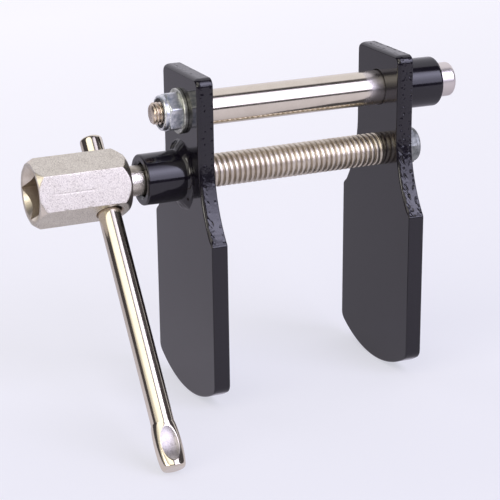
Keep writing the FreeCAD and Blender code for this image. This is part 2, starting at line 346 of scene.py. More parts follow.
def tear_depth(run, across, flare, ragged, shift):
    """How far the torn edge lies below its true outline, by place along it, across it and on the flare."""
    # Slow waves and fine scuffs all over, pits along both borders of the sheared band, and slanting
    # gouges where the flare tore. The divisors are the marks' sizes in millimetres.
    broad = noise.noise(Vector((run / 9.0, across / 5.0, shift)))
    scuff = noise.noise(Vector((run / 1.2, across / 3.5, shift + 5)))
    depth = 0.05 + 0.03 * broad + (0.010 + 0.020 * flare) * scuff
    border = min(abs(across - 2.2 - 1.2 * broad), abs(across - 5.0 + 0.9 * broad))
    pit = max(0.0, noise.noise(Vector((run / 1.1, across / 0.7, shift + 9))) - 0.08)
    depth += ragged * 0.75 * pit * math.exp(-(border / 0.6) ** 2)
    gouged = math.exp(-((across - 1.6 - 0.9 * broad) / 0.9) ** 2)
    slanted = across - 0.6 * run
    gouge = max(0.0, noise.noise(Vector((run / 3.5, slanted / 0.85, shift + 2))) + 0.05)
    return depth + flare * gouged * (0.02 + (0.08 + 0.55 * ragged) * gouge)


def edge_rows(thickness, roll, corner):
    """Rows across a plate's edge as (place, inset), rolled over on the side where the punch went in."""
    turns = [math.radians(90 * k / 8) for k in range(9)]
    land, hold = 0.8, 0.25
    rows = [(0.0, roll[1] + land), (0.0, roll[1] + hold)]
    rows += [(roll[0] * (1 - math.cos(a)), roll[1] * (1 - math.sin(a))) for a in turns]
    span = thickness - roll[0] - corner
    rows += [(roll[0] + span * k / 16, 0.0) for k in range(1, 16)]
    rows += [(thickness - corner * (1 - math.cos(a)), corner * (1 - math.sin(a))) for a in reversed(turns)]
    rows += [(thickness, corner + hold), (thickness, corner + land)]
    return [Vector(row) for row in rows]


def hole_rows(thickness):
    """Rows through a plate's hole, as (place, reach beyond its radius), with softly rounded borders."""
    rounding, land = 0.2, 1.2
    turns = [math.radians(90 * k / 4) for k in range(5)]
    rows = [(0.0, land), (0.0, rounding + 0.2)]
    rows += [(rounding * (1 - math.cos(a)), rounding * (1 - math.sin(a))) for a in turns]
    return rows + [(thickness - x, out) for x, out in reversed(rows)]


def band(one, two, count):
    """Faces between two rings of points, given by the numbers of their first points."""
    return [(one + k, one + (k + 1) % count, two + (k + 1) % count, two + k) for k in range(count)]


def plate_piece(name, node, holes, ragged, shift):
    """Painted plate in the place of a CAD node, with (height, diameter) holes through it."""
    low, high = (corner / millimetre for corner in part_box(node))
    middle = (low.y + high.y) / 2
    thickness, height = high.x - low.x, high.z - low.z
    outline, torn = plate_outline(high.y - low.y, height)
    count = len(outline)
    inward, runs, rolls = [], [0.0], []
    for i in range(count):
        run = (outline[(i + 1) % count] - outline[i - 1]).normalized()
        inward.append(Vector((-run.y, run.x)))
        runs.append(runs[-1] + (outline[(i + 1) % count] - outline[i]).length)
    torn_runs = [runs[i] for i in range(count) if torn[i]]
    for i in range(count):
        reach = min(runs[i] - torn_runs[0], torn_runs[-1] - runs[i]) / roll_run_in
        reach = min(1.0, max(0.0, reach))
        rolls.append(reach * reach * (3 - 2 * reach))
    cut_rows = edge_rows(thickness, (burr, burr), burr)
    rolled_rows = edge_rows(thickness, (roll_in, roll_over), burr)
    rows = len(cut_rows)
    first_torn, last_torn = 7, rows - 5
    points, faces, marks = [], [], []
    for j in range(rows):
        for i in range(count):
            x, inset = cut_rows[j].lerp(rolled_rows[j], rolls[i])
            limit = burr + (roll_over - burr) * rolls[i] if j < rows / 2 else burr
            depth = inset
            if torn[i] and inset < limit:
                flare = min(1.0, max(0.0, (height - neck_height + 1 - outline[i].y) / 5))
                depth += (1 - inset / limit) ** 2 * tear_depth(runs[i], x, flare, ragged, shift)
            spot = outline[i] + inward[i] * depth
            points.append((low.x + x, middle + spot.x, low.z + spot.y))
    for j in range(rows - 1):
        faces += band(j * count, (j + 1) * count, count)
        on_edge = first_torn <= j <= last_torn
        marks += [int(on_edge and torn[i] and torn[(i + 1) % count]) for i in range(count)]
    rims = [[0, (rows - 1) * count, count]]
    segments = 96
    wall = hole_rows(thickness)
    for axis_z, diameter in holes:
        start = len(points)
        for x, out in wall:
            for k in range(segments):
                a = 2 * math.pi * k / segments
                reach = diameter / 2 + out
                points.append((low.x + x, middle + reach * math.cos(a), axis_z + reach * math.sin(a)))
        for j in range(len(wall) - 1):
            faces += band(start + j * segments, start + (j + 1) * segments, segments)
        rims.append([start, start + (len(wall) - 1) * segments, segments])
    marks += [0] * (len(faces) - len(marks))
    mesh = bpy.data.meshes.new(name)
    mesh.from_pydata([Vector(p) * millimetre for p in points], [], faces)
    mesh.materials.append(gloss_black)
    mesh.materials.append(torn_black)
    mesh.polygons.foreach_set("material_index", marks)
    shape = bmesh.new()
    shape.from_mesh(mesh)
    shape.verts.ensure_lookup_table()
    for face_side in (0, 1):
        border = []
        for rim in rims:
            start, number = rim[face_side], rim[2]
            for k in range(number):
                pair = (shape.verts[start + k], shape.verts[start + (k + 1) % number])
                border.append(shape.edges.get(pair))
        filled = bmesh.ops.triangle_fill(shape, edges=border, use_beauty=True)
        for face in filled["geom"]:
            if isinstance(face, bmesh.types.BMFace):
                face.material_index = 0
                face.smooth = True
    bmesh.ops.recalc_face_normals(shape, faces=shape.faces)
    shape.to_mesh(mesh)
    shape.free()
    mesh.shade_smooth()
    return shown_mesh(name, mesh)


def axis_of(node):
    """Cross place and height of a round node's axis, in millimetres, as (y, z)."""
    low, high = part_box(node)
    return (low.y + high.y) / 2 / millimetre, (low.z + high.z) / 2 / millimetre


screw_axis, rod_axis = axis_of("threaded_boss"), axis_of("guide_bush")
boss_y, screw_z = screw_axis
rod_z = rod_axis[1]
screw_bore, rod_bore, rod_hole, stud_hole, journal_hole = 12.1, 13.0, 13.05, 8.4, 8.4
lean_angle, lean_x = math.radians(0.7), 63.0
lean_place = Vector((lean_x, boss_y, screw_z)) * millimetre
lean = (Matrix.Translation(lean_place) @ Matrix.Rotation(lean_angle, 4, "Y")
        @ Matrix.Translation(-lean_place))
near_holes = [(screw_z, screw_bore), (rod_z, stud_hole)]
screw_plate = plate_piece("screw_plate_painted", "screw_plate", near_holes, 0.4, 3.0)
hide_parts("screw_plate")
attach(screw_plate, "screw_side")
far_holes = [(screw_z, journal_hole), (rod_z, rod_hole)]
pressure_plate = plate_piece("pressure_plate_painted", "pressure_plate", far_holes, 1.2, 11.0)
pressure_plate.data.transform(lean)
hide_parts("pressure_plate")
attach(pressure_plate, "pressure_side")


# The round blocks on the outer faces: turned from 18 mm steel bar, one threaded for the screw and
# one bored for the guide rod, welded on and painted with their plates. The bush leans with its plate.
def rounded(corners, steps=5, hold=0.2):
    """Closed (x, radius) outline through (x, radius, rounding) corners, each rounded by an arc."""
    points = []
    for i, (x, radius, size) in enumerate(corners):
        here = Vector((x, radius))
        back = Vector(corners[i - 1][:2]) - here
        onward = Vector(corners[(i + 1) % len(corners)][:2]) - here
        if not size:
            points.append(here)
            continue
        half = back.angle(onward) / 2
        reach = size / math.tan(half)
        middle = here + (back.normalized() + onward.normalized()).normalized() * size / math.sin(half)
        first = here + back.normalized() * reach
        last = here + onward.normalized() * reach
        turn = math.pi - 2 * half
        if back.length > 2 * (reach + hold):
            points.append(first + back.normalized() * hold)
        for k in range(steps + 1):
            share = k / steps
            one, two = math.sin((1 - share) * turn), math.sin(share * turn)
            points.append(middle + ((first - middle) * one + (last - middle) * two) / math.sin(turn))
        if onward.length > 2 * (reach + hold):
            points.append(last + onward.normalized() * hold)
    return points


def turned(name, outline, centre, material, segments=128, closed=True):
    """Piece turned round the X axis through centre from (x, radius) points, its poles closed."""
    points, faces, rings = [], [], []
    for x, radius in outline:
        pole = radius < 1e-6
        rings.append((len(points), pole))
        for k in range(1 if pole else segments):
            a = 2 * math.pi * k / segments
            points.append((x, centre[0] + radius * math.cos(a), centre[1] + radius * math.sin(a)))
    pairs = list(zip(rings, rings[1:]))
    if closed:
        pairs.append((rings[-1], rings[0]))
    for (one, one_pole), (two, two_pole) in pairs:
        if one_pole and two_pole:
            continue
        if one_pole:
            faces += [(one, two + (k + 1) % segments, two + k) for k in range(segments)]
        elif two_pole:
            faces += [(one + k, one + (k + 1) % segments, two) for k in range(segments)]
        else:
            faces += band(one, two, segments)
    return add_piece(name, points, faces, material)


low, high = (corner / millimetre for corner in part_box("threaded_boss"))
boss_radius = (high.z - low.z) / 2
boss_bore = screw_bore / 2
outline = rounded([
    (high.x, boss_bore, 0), (high.x, boss_radius, 0), (low.x, boss_radius, 0.6),
    (low.x, boss_bore + 0.9, 0.15), (low.x + 0.9, boss_bore, 0.15),
])
boss = turned("threaded_boss_painted", outline, screw_axis, gloss_black)
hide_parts("threaded_boss")
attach(boss, "screw_side")

low, high = (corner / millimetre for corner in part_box("guide_bush"))
bush_radius = (high.z - low.z) / 2
outline = rounded([
    (low.x, rod_bore / 2, 0), (low.x, bush_radius, 0), (high.x, bush_radius, 1.1),
    (high.x, rod_bore / 2, 0.3),
])
bush = turned("guide_bush_painted", outline, rod_axis, gloss_black)
bush.data.transform(lean)
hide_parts("guide_bush")
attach(bush, "pressure_side")


# The welds: a fillet of weld metal run round the foot of each block by hand, with the ripples of the
# weld pool and brushed streaks in it, under the same black enamel.
def weld(name, node, centre, block_radius, outward, shift):
    """Fillet between a block and its plate in the place of a CAD node: full above and below, thin beside."""
    low, high = (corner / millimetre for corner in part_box(node))
    leg = high.x - low.x
    foot = high.x if outward < 0 else low.x
    inner = block_radius - 0.02
    around, section, ripples = 1080, 14, 40
    ripple_height, streak_height = 0.14, 0.40
    points, faces = [], []
    for i in range(around):
        a = 2 * math.pi * i / around
        wander = noise.noise(Vector((2.2 * math.cos(a), 2.2 * math.sin(a), shift)))
        full = min(1.0, max(0.0, (abs(math.sin(a)) - 0.6) / 0.3))
        full = full * full * (3 - 2 * full)
        if math.sin(a) > 0:
            full *= 1 - 0.8 * max(0.0, -math.cos(a))
        step = (a / (2 * math.pi) * ripples + 0.5 * wander) % 1
        ripple = ripple_height * full ** 2 * (1 - (2 * step - 1) ** 2)
        streak = max(0.0, 1 - 3.5 * abs(noise.noise(Vector((a * 14, shift, 0.5)))))
        streak *= min(1.0, max(0.0, 0.5 + math.cos(a)))
        reach_out = leg * (0.42 + (0.60 + 0.10 * wander) * full)
        reach_up = leg * (0.40 + (0.30 - 0.15 * wander) * full)
        profile = []
        for k in range(section + 1):
            t = k / section
            swell = (0.35 * full - 0.28) + ripple + streak_height * streak * full
            swell *= 0.7 * math.sin(math.pi * t)
            profile.append((reach_up * (1 - t) + swell, inner + reach_out * t + swell))
        profile.append((0.0, inner))
        for along, reach in profile:
            points.append((foot + outward * along, centre[0] + reach * math.cos(a),
                           centre[1] + reach * math.sin(a)))
    ring = section + 2
    for i in range(around):
        faces += band(i * ring, (i + 1) % around * ring, ring)
    return add_piece(name, points, faces, weld_black)


boss_weld = weld("boss_weld_painted", "boss_weld", screw_axis, boss_radius, -1, 2.0)
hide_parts("boss_weld")
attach(boss_weld, "screw_side")
bush_weld = weld("bush_weld_painted", "bush_weld", rod_axis, bush_radius, 1, 7.0)
bush_weld.data.transform(lean)
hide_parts("bush_weld")
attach(bush_weld, "pressure_side")


# The guide rod: ground steel bar with an M8 stud turned and threaded on its end, nickel plated
# bright. Its shoulder is drawn hard against the screw plate, and it slides in the far plate's bush.
def nickel(name, colour, rough, grain_size, grain_height, blotch, rubbed_from=None):
    """Nickel plating: a warm mirror that takes its texture from the steel under it, dull where rubbed."""
    cloud_size = 6.25
    material, tree = new_material(name)
    place = add_node(tree, "ShaderNodeTexCoord").outputs["Object"]
    grain = add_node(tree, "ShaderNodeTexNoise",
                     {"Vector": place, "Scale": 1 / (grain_size * millimetre), "Detail": 3.0})
    bump = add_node(tree, "ShaderNodeBump",
                    {"Height": grain, "Strength": 1.0, "Distance": grain_height * millimetre})
    cloud = add_node(tree, "ShaderNodeTexNoise",
                     {"Vector": place, "Scale": 1 / (cloud_size * millimetre), "Detail": 5.0,
                      "Roughness": 0.65})
    roughness = add_node(tree, "ShaderNodeMapRange", {
        "Value": cloud, "From Min": 0.3, "From Max": 0.7, "To Min": rough[0], "To Max": rough[1]})
    spread = add_node(tree, "ShaderNodeMapRange",
                      {"Value": cloud, "From Min": 0.3, "From Max": 0.7, "To Max": blotch})
    tint = add_node(tree, "ShaderNodeMix", {0: spread, 6: linear(colour[0]), 7: linear(colour[1])},
                    data_type="RGBA")
    if rubbed_from is not None:
        wander, border, dulling = 14 * millimetre, 4 * millimetre, 0.17
        start = rubbed_from * millimetre + wander / 2
        parts = add_node(tree, "ShaderNodeSeparateXYZ", {0: place})
        ragged = add_node(tree, "ShaderNodeMath", {0: cloud, 1: wander, 2: parts},
                          operation="MULTIPLY_ADD")
        rubbed = add_node(tree, "ShaderNodeMapRange",
                          {"Value": ragged, "From Min": start, "From Max": start + border},
                          interpolation_type="SMOOTHSTEP")
        roughness = add_node(tree, "ShaderNodeMath", {0: rubbed, 1: dulling, 2: roughness},
                             operation="MULTIPLY_ADD")
        tint = add_node(tree, "ShaderNodeMix", {0: rubbed, 6: tint.outputs[2], 7: linear("#ddd6d0")},
                        data_type="RGBA")
    metal = add_node(tree, "ShaderNodeBsdfPrincipled", {
        "Metallic": 1.0, "Base Color": tint.outputs[2], "Roughness": roughness, "Normal": bump})
    add_node(tree, "ShaderNodeOutputMaterial", {"Surface": metal})
    return material


rubbed_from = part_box("pressure_plate")[0].x / millimetre - 9.0
bright = (("#e2dac9", "#d2c8b6"), (0.10, 0.16), 0.4, 0.0008, 0.5)
rod_nickel = nickel("bright_nickel_rubbed_at_the_bush", *bright, rubbed_from)
bright_nickel = nickel("bright_nickel_on_ground_steel", *bright)
cut_nickel = nickel("thin_nickel_on_cut_thread", ("#f2e6d6", "#c0b09c"), (0.18, 0.32), 0.25, 0.005, 1.0)


def thread_tree():
    """Screw thread as a skin wound along its own helix, right-handed: one end bevelled, one run out."""
    tree = bpy.data.node_groups.new("rolled_thread", "GeometryNodeTree")
    sizes = (("Length", 0.1), ("Diameter", 0.012), ("Depth", 0.001), ("Pitch", 0.002), ("Crest", 0.3),
             ("Crown", 0.1), ("Taper", 1.0), ("Run Out", 0.002))
    for label, value in sizes:
        socket = tree.interface.new_socket(label, in_out="INPUT", socket_type="NodeSocketFloat")
        socket.default_value = value
    for label, value in (("Rows", 600), ("Segments", 72)):
        socket = tree.interface.new_socket(label, in_out="INPUT", socket_type="NodeSocketInt")
        socket.default_value = value
    tree.interface.new_socket("Finish", in_out="INPUT", socket_type="NodeSocketMaterial")
    tree.interface.new_socket("Geometry", in_out="OUTPUT", socket_type="NodeSocketGeometry")
    known = {socket.name: socket for socket in add_node(tree, "NodeGroupInput").outputs}
    spot = add_node(tree, "GeometryNodeInputPosition")
    known["x"], known["y"] = add_node(tree, "ShaderNodeSeparateXYZ", {0: spot}).outputs[:2]
    for result, operation, *terms in (
        ("sheet length", "ADD", "Length", "Pitch"),
        ("turn", "ADD", "y", 0.5),
        ("along", "MULTIPLY_ADD", "sheet length", 0.5, "x"),
        ("before", "SUBTRACT", "along", "Pitch"),
        ("screwed", "MULTIPLY_ADD", "Pitch", "turn", "before"),
        ("after start", "MAXIMUM", "screwed", 0.0),
        ("place", "MINIMUM", "after start", "Length"),
        ("pitches", "DIVIDE", "along", "Pitch"),
        ("phase", "FRACT", "pitches"),
        ("past crest", "SUBTRACT", "phase", 0.5),
        ("beside crest", "ABSOLUTE", "past crest"),
        ("off crest", "MULTIPLY", "beside crest", 2.0),
        ("groove", "SMOOTHSTEP", "off crest", "Crest", 1.0),
        ("round", "POWER", "off crest", 2.0),
        ("crowned", "MULTIPLY", "round", "Crown"),
        ("rest", "SUBTRACT", 1.0, "Crown"),
        ("shape", "MULTIPLY_ADD", "groove", "rest", "crowned"),
        ("to the end", "SUBTRACT", "Length", "place"),
        ("ended", "SMOOTHSTEP", "to the end", 0.0, "Run Out"),
        ("full cut", "MULTIPLY", "shape", "Depth"),
        ("cut", "MULTIPLY", "full cut", "ended"),
        ("outer", "MULTIPLY", "Diameter", 0.5),
        ("root", "SUBTRACT", "outer", "Depth"),
        ("bevel", "MULTIPLY_ADD", "place", "Taper", "root"),
        ("threaded", "SUBTRACT", "outer", "cut"),
        ("radius", "MINIMUM", "threaded", "bevel"),
        ("angle", "MULTIPLY", "turn", 2 * math.pi),
        ("cosine", "COSINE", "angle"),
        ("sine", "SINE", "angle"),
        ("side", "MULTIPLY", "radius", "cosine"),
        ("up", "MULTIPLY", "radius", "sine"),
    ):
        inputs = {i: known.get(term, term) for i, term in enumerate(terms)}
        if operation == "SMOOTHSTEP":
            known[result] = add_node(tree, "ShaderNodeMapRange", inputs, interpolation_type=operation)
        else:
            known[result] = add_node(tree, "ShaderNodeMath", inputs, operation=operation)
    sheet = add_node(tree, "GeometryNodeMeshGrid", {
        "Size X": known["sheet length"], "Size Y": 1.0,
        "Vertices X": known["Rows"], "Vertices Y": known["Segments"],
    })
    wound = add_node(tree, "ShaderNodeCombineXYZ", {0: known["place"], 1: known["side"], 2: known["up"]})
    moved = add_node(tree, "GeometryNodeSetPosition", {"Geometry": sheet, "Position": wound})
    merged = add_node(tree, "GeometryNodeMergeByDistance", {"Geometry": moved, "Distance": 2e-6})
    real = add_node(tree, "GeometryNodeRealizeInstances", {"Geometry": merged})
    dressed = add_node(tree, "GeometryNodeSetMaterial", {"Geometry": real, "Material": known["Finish"]})
    add_node(tree, "NodeGroupOutput", {0: dressed})
    return tree


rolled_thread = thread_tree()


def thread_piece(name, start, centre, sizes, finish, rows_per_turn, segments):
    """Closed thread in millimetres from start along +X, as a plain mesh object."""
    holder = shown_mesh(name + "_wound", bpy.data.meshes.new(name + "_wound"))
    winding = holder.modifiers.new("thread", "NODES")
    winding.node_group = rolled_thread
    turns = math.floor(sizes["Length"] / sizes["Pitch"]) + 1
    inputs = {label: value * millimetre for label, value in sizes.items()}
    for label in ("Crest", "Crown", "Taper"):
        inputs[label] = sizes[label]
    inputs["Length"] = (turns - 1) * sizes["Pitch"] * millimetre
    inputs["Rows"] = turns * rows_per_turn + 1
    inputs["Segments"] = segments + 1
    inputs["Finish"] = finish
    for item in rolled_thread.interface.items_tree:
        if item.in_out == "INPUT":
            winding[item.identifier] = inputs[item.name]
    bpy.context.view_layer.update()
    seen = holder.evaluated_get(bpy.context.evaluated_depsgraph_get())
    mesh = bpy.data.meshes.new_from_object(seen)
    bpy.data.objects.remove(holder)
    shape = bmesh.new()
    shape.from_mesh(mesh)
    stretch = sizes["Length"] * millimetre / inputs["Length"]
    for vertex in shape.verts:
        vertex.co.x *= stretch
    bmesh.ops.dissolve_degenerate(shape, dist=1e-7, edges=shape.edges)
    bmesh.ops.holes_fill(shape, edges=shape.edges, sides=0)
    bmesh.ops.recalc_face_normals(shape, faces=shape.faces)
    bmesh.ops.translate(shape, verts=shape.verts, vec=Vector((start, *centre)) * millimetre)
    shape.to_mesh(mesh)
    shape.free()
    mesh.shade_smooth()
    return shown_mesh(name, mesh)


def joined(name, pieces):
    """One object from several, under the given name."""
    for piece in bpy.context.selected_objects:
        piece.select_set(False)
    for piece in pieces:
        piece.select_set(True)
    bpy.context.view_layer.objects.active = pieces[0]
    bpy.ops.object.join()
    pieces[0].name = name
    pieces[0].data.name = name
    pieces[0].select_set(False)
    return pieces[0]


low, high = (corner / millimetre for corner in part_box("guide_rod"))
rod_radius = (high.z - low.z) / 2
shoulder_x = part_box("screw_plate")[1].x / millimetre
stud_radius = 4.0
stud_root = stud_radius - 0.55
outline = rounded([
    (shoulder_x - 1, 0, 0), (shoulder_x - 1, stud_root, 0), (shoulder_x, stud_root, 0),
    (shoulder_x, rod_radius, 0.25), (high.x, rod_radius, 1.1), (high.x, 0, 0),
], steps=6)
plain_rod = turned("rod_shank", outline, rod_axis, rod_nickel, closed=False)
stud_sizes = {"Length": shoulder_x - low.x, "Diameter": 2 * stud_radius, "Depth": 0.7, "Pitch": 1.25,
              "Crest": 0.15, "Crown": 0.12, "Taper": 0.9, "Run Out": 0.6}
stud = thread_piece("rod_stud", low.x, rod_axis, stud_sizes, cut_nickel, 14, 80)
rod = joined("guide_rod_plated", [plain_rod, stud])
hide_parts("guide_rod")
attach(rod, "screw_side")


# The washers: stamped M8 steel washers, their edges rounded by the press, zinc plated with a clear blue
# passivation. The rod's lies under its nut, the screw's on the far plate's outer face.
def zinc(name, dark, light, rough):
    """Clear passivated zinc: cool, blotchy and half dull, darker where it has been handled."""
    blotch_size, blotch_height = 2.38, 0.02
    material, tree = new_material(name)
    place = add_node(tree, "ShaderNodeTexCoord").outputs["Object"]
    cloud = add_node(tree, "ShaderNodeTexNoise",
                     {"Vector": place, "Scale": 1 / (blotch_size * millimetre), "Detail": 5.0,
                      "Roughness": 0.7})
    handled = add_node(tree, "ShaderNodeMapRange", {"Value": cloud, "From Min": 0.32, "From Max": 0.62})
    tint = add_node(tree, "ShaderNodeMix", {0: handled, 6: linear(dark), 7: linear(light)},
                    data_type="RGBA")
    dulling = add_node(tree, "ShaderNodeMapRange", {
        "Value": cloud, "From Min": 0.3, "From Max": 0.7, "To Min": rough[0], "To Max": rough[1]})
    bump = add_node(tree, "ShaderNodeBump",
                    {"Height": cloud, "Strength": 1.0, "Distance": blotch_height * millimetre})
    metal = add_node(tree, "ShaderNodeBsdfPrincipled", {
        "Metallic": 1.0, "Base Color": tint.outputs[2], "Roughness": dulling, "Normal": bump})
    add_node(tree, "ShaderNodeOutputMaterial", {"Surface": metal})
    return material


clear_zinc = zinc("clear_zinc_on_steel", "#939da6", "#f4f6f6", (0.44, 0.24))
warm_zinc = zinc("thin_zinc_on_stamped_steel", "#95978f", "#dddfd6", (0.46, 0.30))
dull_zinc = zinc("dull_zinc_on_steel", "#7b7f7d", "#b0b3ae", (0.62, 0.50))


def flat_ring(name, node, centre, body, bore, roundings, finish, steps):
    """Washer or ring in the place of a CAD node, its four corners rounded from the bore's near one on."""
    low, high = (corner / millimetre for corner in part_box(node))
    outer = (high.z - low.z) / 2
    places = ((low.x, bore), (high.x, bore), (high.x, outer), (low.x, outer))
    outline = rounded([(*place, size) for place, size in zip(places, roundings)], steps, 0.1)
    ring = turned(name, outline, centre, finish, 96)
    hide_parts(node)
    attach(ring, body)


flat_ring("rod_washer_plated", "rod_washer", rod_axis, "screw_side", 4.2, (0.2, 0.2, 0.2, 0.5),
          warm_zinc, 4)
flat_ring("pivot_washer_plated", "pivot_washer", screw_axis, "screw", 4.2, (0.2, 0.2, 0.5, 0.2),
          dull_zinc, 4)


# The lock nuts: cold formed M8 hexagons whose round collar is rolled in over a nylon ring that grips
# the thread, zinc plated like the washers.
def soft_least(one, two, rounding):
    """The lesser of two sizes, rounded over where they meet."""
    gap = max(rounding - abs(one - two), 0.0) / rounding
    return min(one, two) - gap * gap * rounding / 4


def hexagon_reach(angle, across_flats):
    """Distance from the axis to a hexagon's side, in the direction of the angle from a corner."""
    return across_flats / 2 / math.cos((angle % (math.pi / 3)) - math.pi / 6)


def lock_nut(name, node, centre, body, outward, corner_angle, finish):
    """Lock nut in the place of a CAD node, its washer side towards the plate."""
    low, high = (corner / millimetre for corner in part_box(node))
    height = high.x - low.x
    seat = high.x if outward < 0 else low.x
    flats, collar, lip, bore = 13.0, 6.3, 5.2, 4.1
    corner = flats / math.sqrt(3)
    collar_start, rolled_in = height - 1.8, 0.9
    segments, rows = 240, 60
    turns = [2 * math.pi * k / segments for k in range(segments)]
    rings = []
    for x in [height * k / rows for k in range(rows)]:
        wall = min(corner + 1, corner - 0.55 + x * 1.9)
        round_part = collar + 0.25 + (collar_start - x) * 1.5 if x < collar_start else collar
        ring = []
        for a in turns:
            reach = hexagon_reach(a, flats)
            for limit, rounding in ((corner - 0.12, 0.25), (wall, 0.2), (round_part, 0.45)):
                reach = soft_least(reach, limit, rounding)
            if x > height - rolled_in:
                sink = (x - (height - rolled_in)) / rolled_in
                reach = min(reach, collar - rolled_in + rolled_in * math.sqrt(max(0.0, 1 - sink * sink)))
            ring.append(reach)
        rings.append((x, ring))
    inner = ((height, collar - rolled_in), (height, lip + 0.3), (height - 0.1, lip + 0.1),
             (height - 0.4, lip), (height - 1.0, lip), (height - 2.0, bore + 0.3), (height - 2.6, bore),
             (0.5, bore), (0.0, bore + 0.5))
    rings += [(x, [reach] * segments) for x, reach in inner]
    points, faces = [], []
    for j, (x, ring) in enumerate(rings):
        faces += band(j * segments, (j + 1) % len(rings) * segments, segments)
        for a, reach in zip(turns, ring):
            angle = a + math.radians(corner_angle)
            points.append((seat + outward * x, centre[0] - reach * math.sin(angle),
                           centre[1] + reach * math.cos(angle)))
    nut = add_piece(name, points, faces, finish)
    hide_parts(node)
    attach(nut, body)


lock_nut("rod_nut_plated", "rod_nut", rod_axis, "screw_side", -1, 72.0, clear_zinc)
lock_nut("pivot_nut_plated", "pivot_nut", screw_axis, "screw", 1, 20.0, dull_zinc)

# Moulded nylon: an even, half dull black, partly the ring's own colour and partly painted shade for the dark
# recess inside the nut's collar.
nylon, tree = new_material("black_nylon_with_painted_recess_shade")
plastic = add_node(tree, "ShaderNodeBsdfPrincipled",
                   {"Base Color": linear("#0d0d0f"), "Roughness": 0.5, "IOR": 1.53})
add_node(tree, "ShaderNodeOutputMaterial", {"Surface": plastic})
for name, node, centre, body in (("rod_nut_ring", "rod_nut_insert", rod_axis, "screw_side"),
                                 ("pivot_nut_ring", "pivot_nut_insert", screw_axis, "screw")):
    flat_ring(name, node, centre, body, 4.1, (0.15, 0.15, 0.2, 0.2), nylon, 3)


# The lead screw: one steel forging. Its hexagonal head takes a half inch square drive or a spanner,
# then come a plain neck, the rolled thread, and a journal that turns in the far plate.
def blasted_nickel(name, dark, light):
    """Satin nickel over shot-blasted steel: fine dark and light specks, a few pits, half dull."""
    speck_size, speck_height, cloud_size, cloud_part = 0.2381, 0.014, 5.26, 0.06
    material, tree = new_material(name)
    place = add_node(tree, "ShaderNodeTexCoord").outputs["Object"]
    speck = add_node(tree, "ShaderNodeTexNoise",
                     {"Vector": place, "Scale": 1 / (speck_size * millimetre), "Detail": 2.0,
                      "Roughness": 0.7})
    cloud = add_node(tree, "ShaderNodeTexNoise",
                     {"Vector": place, "Scale": 1 / (cloud_size * millimetre), "Detail": 4.0,
                      "Roughness": 0.6})
    fine = add_node(tree, "ShaderNodeMath", {0: speck, 1: 1 - cloud_part}, operation="MULTIPLY")
    both = add_node(tree, "ShaderNodeMath", {0: cloud, 1: cloud_part, 2: fine},
                    operation="MULTIPLY_ADD")
    lightness = add_node(tree, "ShaderNodeMapRange", {"Value": both, "From Min": 0.38, "From Max": 0.52})
    tint = add_node(tree, "ShaderNodeMix", {0: lightness, 6: linear(dark), 7: linear(light)},
                    data_type="RGBA")
    dulling = add_node(tree, "ShaderNodeMapRange", {
        "Value": cloud, "From Min": 0.35, "From Max": 0.65, "To Min": 0.40, "To Max": 0.30})
    bump = add_node(tree, "ShaderNodeBump",
                    {"Height": speck, "Strength": 1.0, "Distance": speck_height * millimetre})
    metal = add_node(tree, "ShaderNodeBsdfPrincipled", {
        "Metallic": 1.0, "Base Color": tint.outputs[2], "Roughness": dulling, "Normal": bump})
    add_node(tree, "ShaderNodeOutputMaterial", {"Surface": metal})
    return material


satin_nickel = blasted_nickel("satin_nickel_on_blasted_steel", "#a0978a", "#e9e4d5")
pressed_nickel = blasted_nickel("satin_nickel_on_pressed_steel", "#7d7872", "#c6c0ba")
rough_nickel = nickel("nickel_on_rough_turned_steel", ("#f0eadc", "#8f8778"), (0.22, 0.36), 0.4, 0.12, 1.0)
worn_nickel = nickel("worn_nickel_on_rolled_steel", ("#e7dfcf", "#c0b5a3"), (0.30, 0.42), 0.3, 0.004, 1.0)
turned_nickel = nickel("nickel_on_turned_steel", ("#e4dccc", "#c9bfb0"), (0.24, 0.38), 0.35, 0.006, 1.0)
dull_nickel = nickel("thin_nickel_in_holes", ("#e2d6c8", "#b6aa9c"), (0.36, 0.52), 0.3, 0.003, 1.0)

low, high = (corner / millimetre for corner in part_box("lead_screw"))
head_length, head_flats, head_end = 33.7, 21.4, 10.9
head_corner = head_flats / math.sqrt(3)
head_turn = math.radians(-12.0)
outer_chamfer, inner_chamfer, inner_end = 2.1, 3.2, 10.2
outer_x = low.x
inner_x = low.x + head_length
far_face_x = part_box("pressure_plate")[0].x / millimetre


def spaced(start, end, edges, fine, coarse):
    """Places from start to end, close together near the given edges."""
    places, here = [start], start
    while here < end:
        near = min(abs(here - edge) for edge in edges)
        here += fine + (coarse - fine) * min(1.0, near / 2.0)
        places.append(min(here, end))
    return places


def close_end(points, faces, start, count, centre, shares):
    """Close a ring of points with smaller rings, as shares of its size, and a pole."""
    centre = Vector(centre)
    spots = [Vector(spot) for spot in points[start:start + count]]
    last = start
    for share in shares:
        faces += band(last, len(points), count)
        last = len(points)
        points += [centre + (spot - centre) * share for spot in spots]
    faces += [(last + k, last + (k + 1) % count, len(points)) for k in range(count)]
    points.append(centre)


